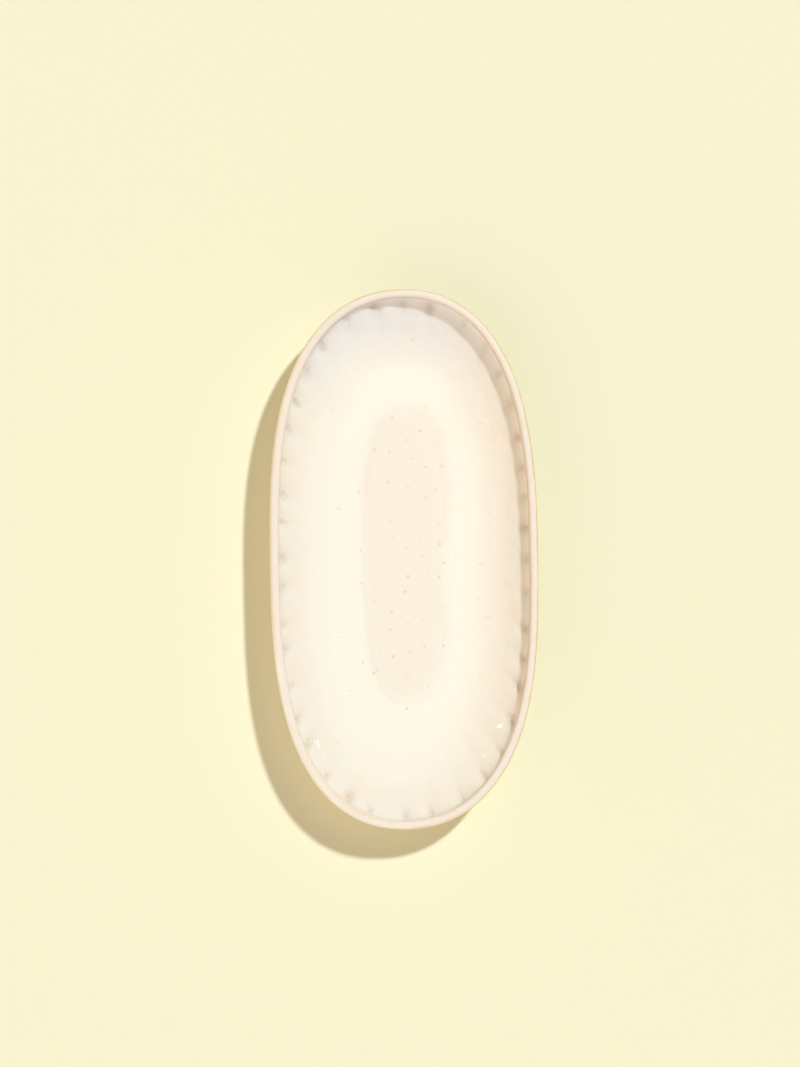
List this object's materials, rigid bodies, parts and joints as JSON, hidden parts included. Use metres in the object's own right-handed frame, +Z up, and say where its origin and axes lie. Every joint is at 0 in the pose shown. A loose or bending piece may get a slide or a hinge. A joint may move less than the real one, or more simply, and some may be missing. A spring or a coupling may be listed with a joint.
{
  "type": "asparagus plate",
  "caption": "Long oval stoneware plate with a flat well, a curved wall creased into soft lobes inside, a rounded lip and a bare foot ring, for serving asparagus.",
  "frame": {"origin": "on the table under the middle of the plate", "axes": "+Z up, +Y along the length of the plate, +X across its width"},
  "size_m": [0.174, 0.35, 0.03],
  "materials": {
    "bare_clay": "bare fired stoneware",
    "foot_clay": "bare fired stoneware, wiped and sanded",
    "cream_glaze": "glossy cream glaze",
    "pool_glaze": "glossy glaze, pinkish beige where it is thick",
    "rim_glaze": "glossy glaze that breaks to tan at the edges of the lip",
    "outer_glaze": "glossy cream glaze",
    "base_glaze": "glossy cream glaze"
  },
  "bodies": {
    "root": {"clay_body": "bare_clay", "foot_ring": "foot_clay", "inside_glaze": "cream_glaze", "well_glaze_pool": "pool_glaze", "rim_glaze": "rim_glaze", "outside_glaze": "outer_glaze", "base_glaze": "base_glaze"}
  },
  "joints": []
}
